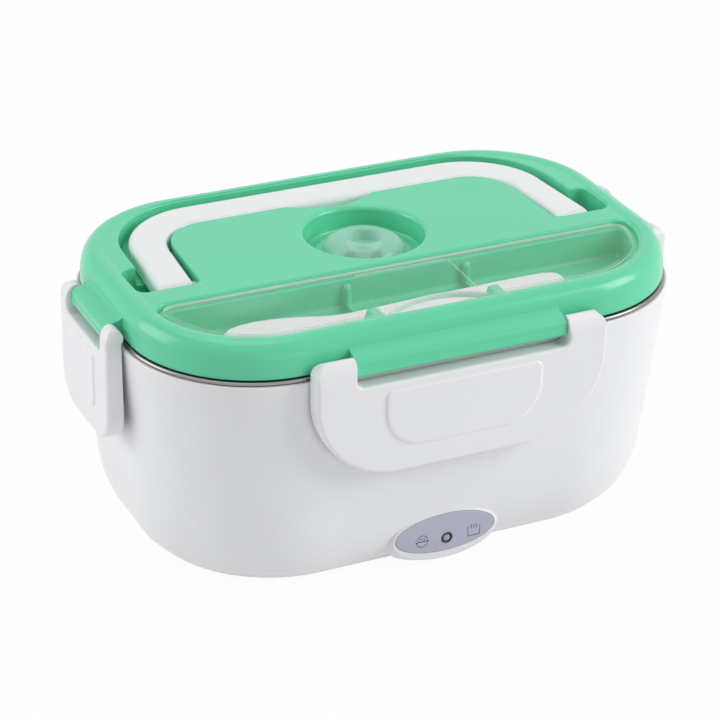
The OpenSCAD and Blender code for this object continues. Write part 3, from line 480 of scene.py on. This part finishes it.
def makePanel():
    y = housing["padY"]
    plate = loft("indicatorPanel", [upright(panelOutline(g), y + d) for d, g in
                                    ((0.78, 0), (0.3, 0), (0.1, -0.08), (0.02, -0.25), (0, -0.5))])
    combine(plate, [loft("cut", [upright(circle(0, 10, 2.35), y + d) for d in (-1, 2)])])
    place(smooth(plate, 50), "housing", panelGrey, "panel_grey", "indicator_panel")

    # small printed marks, a covered bowl and a steaming tray, as thin raised ink
    def stroke(points, width=0.24):
        parts = []
        for (x0, z0), (x1, z1) in zip(points, points[1:]):
            along = Vector((x1 - x0, z1 - z0))
            side = Vector((-along.y, along.x)).normalized() * width / 2
            reach = along.normalized() * width * 0.35
            box = [(x0 - reach.x + side.x, z0 - reach.y + side.y),
                   (x1 + reach.x + side.x, z1 + reach.y + side.y),
                   (x1 + reach.x - side.x, z1 + reach.y - side.y),
                   (x0 - reach.x - side.x, z0 - reach.y - side.y)]
            parts.append(loft("ink", [upright(box, y + 0.05), upright(box, y - 0.03)]))
        return parts

    bowlX, trayX, markZ = -10.4, 11.4, 10.6
    parts = stroke(arc(bowlX, markZ, 2.35, 180, 360, 14))
    parts += stroke([(bowlX - 2.7, markZ), (bowlX + 2.7, markZ)], 0.34)
    parts += stroke(arc(bowlX, markZ + 0.35, 2.2, 12, 168, 12))
    parts += stroke([(bowlX - 1.1, markZ + 1.0), (bowlX - 0.2, markZ + 1.2)])
    parts += stroke([(bowlX + 0.5, markZ + 1.1), (bowlX + 1.2, markZ + 0.8)])
    parts += stroke([(trayX - 2.2, markZ + 1.9), (trayX - 2.6, markZ + 1.5),
                     (trayX - 2.4, markZ - 2.1), (trayX + 2.4, markZ - 2.1),
                     (trayX + 2.6, markZ + 1.5), (trayX + 2.2, markZ + 1.9)])
    for k in (-1, 0, 1):
        wave = [(trayX + k * 1.05 + 0.22 * math.sin(h * 2.3), markZ + 0.9 + 0.45 * h)
                for h in range(5)]
        parts += stroke(wave, 0.2)
    marks = joined("panelMarks", parts)
    marks.data.materials.clear()
    marks.data.materials.append(inkDark)
    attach(marks, "housing")

    ring = loft("lampRing", [upright(circle(0, 10, r, 48), y + d) for r, d in
                             ((2.3, 0.8), (2.3, 0), (2.22, -0.2), (2.05, -0.3), (1.85, -0.3),
                              (1.68, -0.15), (1.62, 0.1), (1.6, 0.8), (2.3, 0.8))], closed=True)
    place(smooth(ring), "housing", darkPlastic, "dark_plastic", "led_bezel")
    lens = loft("lampLens", [upright(circle(0, 10, r, 40), y + d) for r, d in
                             ((1.5, 5.8), (1.5, 0.35), (1.4, 0.1), (1.1, -0.05), (0.6, -0.14),
                              (0.02, -0.17))])
    place(smooth(lens), "housing", lampLens, "lamp_lens", "led_lamp")


def handleOutline(g, wide=0, splay=handle["splay"]):
    # g grows it, wide grows its outer side further, splay sets its legs' ends apart
    e, outerY, innerY, cx, steps = 0.4, 26, 24, handle["arcX"], 14
    out, inner, end = handle["out"] + g + wide, handle["inner"] - g, handle["end"] - g
    outerR, innerR = handle["outerR"] + g + wide, handle["innerR"] - g
    points = (arc(out - e, end + e, e, -90, 0, 4) + arc(cx, outerY, outerR, 0, 90, steps)
              + arc(-cx, outerY, outerR, 90, 180, steps)
              + arc(-out + e, end + e, e, 180, 270, 4)
              + arc(-inner - e, end + e, e, 270, 360, 4)
              + arc(-cx, innerY, innerR, 180, 90, steps) + arc(cx, innerY, innerR, 90, 0, steps)
              + arc(inner + e, end + e, e, 180, 270, 4))
    leg = outerY - handle["end"]
    return [(x + math.copysign(splay * max(0, outerY - y) / leg, x), y) for x, y in points]


def channelOutline(g):
    return handleOutline(channel["gap"] + g, channel["wide"], channel["splay"])


def pocketOutline(side, g, steps):
    return roundedBox(pocket["l"] + 2 * g, pocket["w"] + 2 * g, pocket["r"] + g,
                      side * pocket["x"], pocket["y"], steps)


def wellOutline(g, steps=96):
    return circle(0, valveY, wellRadius + g, steps)


def recessOutline(g, ends=0, back=0):  # g draws it in, ends and back only those sides
    low, midY, cx = recess["back"] - back, recess["midY"], recess["endX"]
    reach = recess["r"] - recess["corner"] - ends
    across = math.sqrt(reach ** 2 - (low - midY) ** 2)
    tangent = math.degrees(math.atan2(low - midY, across))
    r, corner = recess["r"] - ends - g, recess["corner"] - g
    return (arc(cx + across, low, corner, 90, tangent, 8)
            + arc(cx, midY, r, tangent, -90, 16)
            + arc(-cx, midY, r, -90, -180 - tangent, 16)
            + arc(-cx - across, low, corner, -180 - tangent, -270, 8))


def scallopOutline(g):  # fingertip room behind the grip, a smooth bump towards the valve
    reach = 28 + g
    bump = [(reach * k / 14, 43.5 - (9.2 + g) * (0.5 + 0.5 * math.cos(math.pi * k / 14)))
            for k in range(-14, 15)]
    return bump + [(reach, 45), (-reach, 45)]


def pocketCutter(outline, floor, top, roundFloor, roundRim, rise=3):
    # a cutter with a rounded floor, and a flared mouth that rounds the rim it leaves
    rings = [level(outline(-roundFloor * (1 - math.sin(t))),
                   floor + roundFloor * (1 - math.cos(t))) for t in radians(0, 25, 50, 70, 90)]
    rings += [level(outline(roundRim * (1 - math.cos(t))), top - roundRim + roundRim * math.sin(t))
              for t in radians(0, 30, 60, 90)]
    rings.append(level(outline(roundRim), top + rise))
    return loft("cut", rings)


def tubs(grow, drop, top):
    # plain solids that become the walls of the lid's pockets
    def block(outline, low):
        return loft("tub", [level(outline, low), level(outline, top)])
    made = [block(channelOutline(grow), channel["floor"] - drop),
            block(recessOutline(2.5 - grow), recess["floor"] - drop),
            block(recessOutline(-grow), recess["ledge"] - drop),
            block(wellOutline(grow, 64), wellFloor - drop),
            block(scallopOutline(grow), scallopFloor - drop)]
    for side in (-1, 1):
        made.append(block(pocketOutline(side, grow, 8), pocket["floor"] - drop))
        made.append(block(roundedBox(5, 10, 0.5, side * 71.3, pivot["y"], 3), 94.5))
    return made


def cutLidPockets(body):
    deck = lid["deck"]
    combine(body, [pocketCutter(channelOutline, channel["floor"], deck, 0.8, 0.6)])
    for side in (-1, 1):
        combine(body, [pocketCutter(lambda g, side=side: pocketOutline(side, g, 10),
                                    pocket["floor"], deck, 1.2, 0.8)])
    combine(body, [pocketCutter(scallopOutline, scallopFloor, deck, 3.0, 0.9)])
    combine(body, [pocketCutter(wellOutline, wellFloor, deck, 1.5, 1.9)])
    combine(body, [loft("cut", [level(circle(0, valveY, 7.5), z) for z in (90, 100)])])

    # cutlery recess with the ledge that the cover lies on
    wall, fillet, rimR, ledge = 2.5, 2.0, 1.3, recess["ledge"]
    rings = [level(recessOutline(wall + fillet * (1 - math.sin(t))),
                   recess["floor"] + fillet * (1 - math.cos(t)))
             for t in radians(0, 25, 50, 70, 90)]
    rings += [level(recessOutline(s), ledge + z) for s, z in
              ((wall, -0.3), (2.4, -0.1), (2.1, 0), (0.1, 0), (0, 0.1))]
    rings += [level(recessOutline(-rimR * (1 - math.cos(t))), deck - rimR + rimR * math.sin(t))
              for t in radians(0, 20, 40, 60, 75, 90)]
    rings.append(level(recessOutline(-rimR), deck + 3))
    combine(body, [loft("cut", rings)])


def makeLid():
    profile = [(0.55, 92.0), (0.2, 92.12), (0.0, 92.5), (0.0, 94), (0.05, 96.2), (0.12, 97.1),
               (0.32, 97.5)]
    profile += [(0.32 + 5.9 * (1 - math.cos(t)), lid["top"] - 8 * (1 - math.sin(t)))
                for t in radians(10, 20, 30, 40, 50, 60, 70, 80, 90)]
    profile += [(7.2, 105.46), (8.1, 105.34), (8.8, 105.17), (9.3, 105.04), (9.8, 105.0)]
    body = loft("lid", [level(lidBox(s), z) for s, z in profile])

    hollow = loft("cut", [level(lidBox(s), z) for s, z in
                          ((2.2, 90), (2.2, 97), (3.4, 100.5), (5.0, 102.2), (7.5, 102.9),
                           (9.0, 102.9))])
    combine(body, [hollow])
    combine(body, tubs(1.8, 1.8, 104), "UNION")
    cutLidPockets(body)

    # latch tabs, a bar along each side with softened ends
    tab = [(-1.5, 92.6, 0.1), (0, 92.1, 0.1), (3, 92.1, 0.3), (3.7, 90.7, 0.3), (6.2, 90.6, 0.6),
           (7, 91.6, 0.6), (7, 93.6, 0.15), (6.8, 93.8, 0.15), (6.8, 96.2, 1.4), (5.2, 97.6, 1.6),
           (0.6, 98.7, 1.2), (-1.5, 100.2, 0.1)]
    for angle, edge, half, depth in ((0, lid["w"] / 2, 42.5, 0), (180, lid["w"] / 2, 42.5, 0),
                                     (-90, lid["l"] / 2, 17.5, lid["sideY"]),
                                     (90, lid["l"] / 2, 17.5, lid["sideY"])):
        bar = barAlong("tab", -half, half, softPolygon([(-edge - u, z, r) for u, z, r in tab], 4))
        softenEdges(bar, 0.45, 3, 60)
        combine(bar, [barAlong("cut", -half - 1, half + 1, pinBore(edge))])
        combine(body, [shifted(turned(bar, angle), depth)], "UNION")
    for side in (-1, 1):
        combine(body, [barAlong("cut", side * 65, side * 84,
                                circle(pivot["y"], pivot["z"], pivot["bore"], 32))])

    # gasket ribs under the lid, and what holds the spoon
    parts = [body]
    for low, high, s0, s1 in ((95.2, 97.0, 1.6, 6.9), (92.4, 97.0, 5.3, 6.9)):
        ring = [level(lidBox(s), z) for s, z in
                ((s0, low + 0.2), (s0, high), (s1, high), (s1, low + 0.2), (s1 - 0.3, low),
                 (s0 + 0.3, low))]
        parts.append(loft("rib", ring + [ring[0]], closed=True))
    for x in spoonPosts:
        parts.append(spinProfile("rib", [(0.01, 89.8), (2, 89.8), (1.95, 98.4), (1.7, 99.6),
                                         (1.1, 100.3), (0.01, 100.5)], (x, -23.2), 24))
        bar = softPolygon([(-21.5, 90, 0.1), (-46.5, 90, 0.1), (-46.5, 92.85, 0.4),
                           (-21.5, 92.85, 0.4)], 3)
        parts.append(softenEdges(barAlong("bar", x - 1, x + 1, bar), 0.25, 2))
        shape = softPolygon([(x - 5, 90, 0.1), (x + 5, 90, 0.1), (x + 2, 100.5, 0.9),
                             (x - 2, 100.5, 0.9)], 4)
        prong = loft("prong", [upright(shape, y) for y in (-45.7, -58.4)])
        parts.append(softenEdges(prong, 0.4, 3))
    piece = smooth(joined("lid", parts), 34)
    return place(piece, "lid", mintPlastic, "mint_plastic", "lid_shell")


def makeHandle():
    low, high, lowR, highR = handle["low"], handle["high"], 1.2, 2.7
    rings = [level(handleOutline(-lowR * (1 - math.sin(t))), low + lowR * (1 - math.cos(t)))
             for t in radians(0, 25, 50, 70, 90)]
    rings += [level(handleOutline(-highR * (1 - math.cos(t))), high - highR * (1 - math.sin(t)))
              for t in radians(0, 15, 30, 45, 60, 75, 90)]
    bar = loft("handle", rings)
    # the legs' ends roll down to the front
    end = handle["end"]
    roll = softPolygon([(end, 96, 0.1), (70, 96, 0.1), (70, 106, 0.1), (4, 106, 0.1),
                        (4, high, 0.1), (end, high, 5.6)], 10)
    combine(bar, [barAlong("cut", -120, 120, roll)], "INTERSECT")
    softenEdges(bar, 0.8, 3, 50)
    for side in (-1, 1):
        stud = barAlong("stud", side * 71.1, side * 77.5,
                        circle(pivot["y"], pivot["z"], pivot["stud"], 32))
        combine(bar, [softenEdges(stud, 0.3, 2, 60)], "UNION")
    return place(smooth(bar, 40), "handle", glossWhite, "white_plastic", "carry_handle")


def makeCover():
    low, high = 102.02, 103.4
    rings = [level(recessOutline(s), z) for s, z in
             ((0.7, low), (0.45, low + 0.15), (0.4, low + 0.35), (0.5, low + 0.6))]
    # a raised lip that stands in from the recess's ends
    rings += [level(recessOutline(s, 1.9, 0.3), z) for s, z in
              ((0.25, 102.8), (0.1, 103.1), (0.1, 104.0), (0.2, 104.2), (0.45, 104.3),
               (1.05, 104.3), (1.3, 104.2), (1.4, 104.0), (1.5, 103.6), (1.9, 103.42),
               (3.0, high))]
    cover = loft("cutleryCover", rings)
    # a sunk panel in the middle
    panel = loft("cut", [level(softPolygon([(20.2 + g, -23.2 + g, 0.6), (18.7 + g, -70, 0.6),
                                            (-24 - g, -70, 0.6), (-18.9 - g, -23.2 + g, 0.6)], 3),
                               z) for g, z in ((-0.3, high - 0.55), (0.2, high + 1))])
    combine(cover, [panel])
    # a finger notch, an arc with a lip round it
    notchY, notchR = -82, 30.7
    combine(cover, [loft("cut", [level(circle(0, notchY, notchR, 128), z) for z in (100, 106)])])
    section = ((0, low), (0, high + 0.5), (0.35, high + 0.8), (0.95, high + 0.8),
               (1.3, high + 0.5), (1.3, low))
    lip = loft("lip", [[((notchR + a) * math.sin(t), notchY + (notchR + a) * math.cos(t), z)
                        for a, z in section] for t in radians(*(k * 2.1 for k in range(-20, 21)))])
    trim = loft("cut", [level(recessOutline(0.45), z) for z in (98, 110)])
    combine(lip, [trim], "INTERSECT")
    piece = smooth(joined("cutleryCover", [cover, lip]), 30)
    return place(piece, "cover", clearCover, "clear_plastic", "cutlery_cover")


def makeSpoon():
    # each ring is a section across the spoon, from the bowl's tip to the end of the handle
    stations = [(-77.6, 0.4, 94.3, 0), (-77.2, 3.2, 94.25, 0.2), (-75.5, 6.6, 94.1, 0.7),
                (-72, 9.9, 93.9, 1.3), (-67, 11.9, 93.7, 1.75), (-61, 12.6, 93.6, 1.9),
                (-54, 12.0, 93.6, 1.85), (-47, 10.4, 93.65, 1.6), (-41, 8.4, 93.75, 1.15),
                (-36, 6.4, 93.9, 0.7), (-31, 4.9, 94.1, 0.25), (-26, 4.2, 94.3, 0),
                (-18, 4.0, 94.6, 0), (-4, 4.4, 94.85, 0), (16, 5.0, 94.9, 0), (34, 5.5, 94.9, 0),
                (50, 5.7, 94.9, 0), (56, 5.3, 94.9, 0), (59, 4.4, 94.9, 0), (60.4, 3.0, 94.9, 0),
                (61.0, 0.4, 94.9, 0)]
    spoonY, rings = -39.5, []
    for x, half, z, dish in stations:
        top, under = [], []
        for k in range(-8, 9):
            f = k / 8
            sag = dish * (1 - f * f)
            edge = 0.55 * (1 - abs(f) ** 6) + 0.15
            top.append((x, spoonY + half * f, z + 0.3 - sag))
            under.append((x, spoonY + half * f, z + 0.3 - sag - 1.7 * edge - 0.15))
        rings.append(top + under[::-1])
    return place(smooth(loft("spoon", rings), 50), "cutlery", spoonWhite, "white_plastic", "spoon")


def makeValve():
    dome = spinProfile("steamValve", [
        (0.01, 90.5), (5.5, 90.5), (6.6, 91.0), (7.4, 91.8), (7.4, 95.1), (18.7, 95.1), (19, 95.4),
        (18.9, 96.1), (18.2, 96.7), (17.0, 97.0), (16.2, 97.3), (15.8, 97.9), (15.6, 98.9),
        (15.0, 100.1), (14.0, 101.1), (12.6, 101.9), (10.8, 102.5), (9.0, 102.85), (7.7, 102.95),
        (7.0, 102.85), (6.6, 102.5), (6.45, 101.8), (6.3, 99.0), (5.9, 98.4), (4.2, 98.2),
        (3.5, 97.9), (3.3, 97.3), (3.1, 94.0), (0.01, 94.0)], (0, valveY), 72)
    return place(smooth(dome, 40), "valve", valveSilicone, "silicone", "steam_valve")


def makeContainer():
    profile = [(16.2, 30.9), (14.3, 31.5), (13.0, 32.6), (12.25, 34.9), (9.2, 85.2), (7.2, 85.2),
               (7.2, 90.8), (2.9, 90.8)]
    # the rolled bead round the rim
    beadR = 0.8
    profile += [(1.8 - beadR * math.sin(t), 90.8 - beadR * math.cos(t))
                for t in radians(-80, -40, 0, 30, 60, 90, 120, 150, 180)]
    profile += [(6.2, 91.6), (7.4, 91.45), (7.95, 91.0), (8.0, 90.4), (8.0, 86.3), (8.3, 86.05),
                (9.7, 86.0), (10.0, 85.7), (13.05, 35.0), (13.9, 33.0), (15.2, 32.0), (16.8, 31.7)]
    pot = loft("steelContainer", [level(rimBox(s), z) for s, z in profile])
    return place(smooth(pot, 38), "container", polishedSteel, "steel", "steel_container")


latches = {"long": {"half": 59, "tab": 42.5, "corner": 33, "ear": 6.4, "field": 31.5,
                    "edge": 70.5},
           "short": {"half": 25, "tab": 17.5, "corner": 14, "ear": 4.0, "field": 12,
                     "edge": 108.5}}


def shield(half, low, high, lowR, highR, steps):
    # an upright shape with its two lower corners rounded one way and its upper ones another
    return softPolygon([(half, low, lowR), (half, high, highR), (-half, high, highR),
                        (-half, low, lowR)], steps)


def makeLatch(name, size):
    half, inner, edge, corner = size["half"], size["tab"] + 0.5, size["edge"], size["corner"]
    low, top, out, wall, roundR = 50, 98.2, 9.1, 2.2, 1.7

    def face(inset):
        return shield(half - inset, low + inset, top - inset, corner - inset,
                      size["ear"] - inset, 12)

    rings = [upright(face(0), -edge - u) for u in (-0.5, 4, out - roundR)]
    rings += [upright(face(roundR * (1 - math.cos(t))), -edge - out + roundR * (1 - math.sin(t)))
              for t in radians(20, 40, 60, 75, 90)]
    plate = loft(name, rings)
    # seen from its end: flat in front, and an ear that curves over to the hinge
    earOut = -edge - 5.2
    profile = [(-edge - 2.6, low - 2), (-edge - out - 1, low - 2), (-edge - out - 1, 89.8)]
    profile += [(earOut - 3.9 * math.cos(t), 90.8 + 7.4 * math.sin(t))
                for t in radians(*range(0, 91, 9))]
    profile += [(earOut - 3.2 * math.cos(t), 95.0 + 3.2 * math.sin(t))
                for t in radians(*range(105, 226, 15))]
    combine(plate, [barAlong("cut", -half - 2, half + 2, profile)], "INTERSECT")

    pan = loft("cut", [upright(shield(half - wall - g, low + wall + g, 85.1, corner - wall - g, 2,
                                      10), -edge - u)
                       for u, g in ((-3, 0), (5.5, 0), (6.2, 0.3), (6.5, 1.0))])
    combine(plate, [pan])
    mouth = loft("cut", [upright(shield(inner + g, 87.3 - g, 112, 3 + g, 1, 8), -edge - u)
                         for u, g in ((-4, 0), (7.9, 0), (8.5, 0.16), (8.94, 0.6), (9.12, 1.2),
                                      (12, 1.2))])
    combine(plate, [mouth])
    softenEdges(plate, 0.5, 3, 38)
    # raised field, soft all round, with small upper corners and large lower ones
    field = size["field"]
    rings = [upright(shield(field + g, 60.5 - g, 83.8 + g, 0.48 * field + g, 2.4 + g, 10),
                     -edge - out - u)
             for u, g in ((-1, 0.75), (-0.02, 0.75), (0.12, 0.45), (0.35, 0.22), (0.55, 0.0),
                          (0.7, -0.35), (0.78, -0.8), (0.8, -1.4))]
    combine(plate, [loft("field", rings)], "UNION")
    bore = inner + min(10, half - inner - 1.8)
    combine(plate, [barAlong("cut", -bore, bore, pinBore(edge))])
    hook = barAlong("hook", -field * 0.65, field * 0.65, softPolygon(
        [(-edge - u, z, 0.25) for u, z in ((3.1, 77.9), (3.1, 79.4), (5, 81.3), (7, 81.3),
                                           (7, 74.8), (4.3, 76))], 3))
    return smooth(joined(name, [plate, softenEdges(hook, 0.25, 2)]), 34)


def makeLatches():
    long = makeLatch("latchFront", latches["long"])
    back = turned(copied(long, "latchBack"), 180)
    left = makeLatch("latchLeft", latches["short"])
    right = shifted(turned(copied(left, "latchRight"), 90), lid["sideY"])
    shifted(turned(left, -90), lid["sideY"])
    for piece, side in ((long, "front"), (back, "back"), (left, "left"), (right, "right")):
        place(piece, "latch_" + side, whitePlastic, "white_plastic", "latch_" + side)


makeHousing()
makePanel()
makeLid()
makeHandle()
makeCover()
makeSpoon()
makeValve()
makeContainer()
makeLatches()

# pieces carried over from the frame get new finishes

finishes = {"inner_well": whitePlastic, "heater_plate": aluminium, "ptc_heater": amberFilm,
            "heater_bracket": satinSteel, "heater_screws": satinSteel, "thermostat": ceramic,
            "thermal_fuse": satinSteel, "base_cover": whitePlastic, "base_screws": satinSteel,
            "rubber_feet": rubber, "power_inlet": darkPlastic, "inlet_pins": satinSteel,
            "led_board": boardGreen, "wiring": wireRed, "side_tray": spoonWhite,
            "lid_gasket": gasketSilicone, "latch_pin_front": satinSteel,
            "latch_pin_back": satinSteel, "latch_pin_left": satinSteel,
            "latch_pin_right": satinSteel}
for node, material in finishes.items():
    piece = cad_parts[node]
    for slot in piece.material_slots:
        slot.material = material
print("carried over", len(finishes), "pieces")

# camera, floor and light, in metres, watts and degrees

view = {"azimuth": -25.333, "elevation": 27.203, "roll": 0.884, "lens": 135.84,
        "distance": 1.08784, "target": (0.00508, 0.02103, 0.04204)}
lights = [
    {"name": "keyLight", "at": (1.3, -0.85, 0.95), "size": 0.9, "power": 15.3},
    {"name": "leftLight", "at": (-1.25, 0.55, 0.6), "size": 0.9, "power": 7.9},
    {"name": "topLight", "at": (-0.1, 0.3, 1.5), "size": 1.0, "power": 4.2},
    {"name": "frontLight", "at": (0.05, -1.5, 0.14), "size": 0.9, "power": 1.5},
]


def setStage():
    a, e, r = (math.radians(view[k]) for k in ("azimuth", "elevation", "roll"))
    back = Vector((math.sin(a) * math.cos(e), -math.cos(a) * math.cos(e), math.sin(e)))
    right = Vector((math.cos(a), math.sin(a), 0))
    up = back.cross(right)
    right, up = right * math.cos(r) + up * math.sin(r), up * math.cos(r) - right * math.sin(r)
    bpy.ops.object.camera_add()
    camera = bpy.context.object
    turn = Matrix((right, up, back)).transposed().to_4x4()
    spot = Vector(view["target"]) + back * view["distance"]
    camera.matrix_world = Matrix.Translation(spot) @ turn
    camera.data.lens = view["lens"]
    camera.data.sensor_width = 36
    bpy.context.scene.camera = camera

    for lamp in lights:
        spot = Vector(lamp["at"])
        bpy.ops.object.light_add(type="AREA", location=spot)
        light = bpy.context.object
        light.name = lamp["name"]
        light.rotation_euler = spot.to_track_quat("Z", "Y").to_euler()
        light.data.size = lamp["size"]
        light.data.energy = lamp["power"]

    material, start = newMaterial("floorWhite")
    spot = start.add("TexCoord", output="Object")
    paper = start.between((0.86, 0.86, 0.865, 1), (0.89, 0.89, 0.892, 1), start.noise(spot, 30, 3))
    matt = start.add("BsdfDiffuse", {}, {"Color": paper})
    glow = start.add("Emission", {}, {"Color": (1, 1, 1, 1), "Strength": 1.0})
    amount = start.seen() * 0.96
    finished(material, start, start.add("MixShader", {}, {0: amount, 1: matt, 2: glow}))
    bpy.ops.mesh.primitive_plane_add(size=40)
    floor = bpy.context.object
    floor.name = "floor"
    floor.data.materials.append(material)

    world = bpy.data.worlds.new("studio")
    bpy.context.scene.world = world
    world.use_nodes = True
    world.node_tree.nodes.clear()
    start = Wire(world.node_tree)
    sky = start.add("Background", {}, {"Color": (1, 1, 1, 1),
                                      "Strength": start.seen() * 0.59 + 0.41})
    start.add("OutputWorld", {}, {"Surface": sky})
    bpy.context.scene.view_settings.view_transform = "Standard"


setStage()
print("stage set")
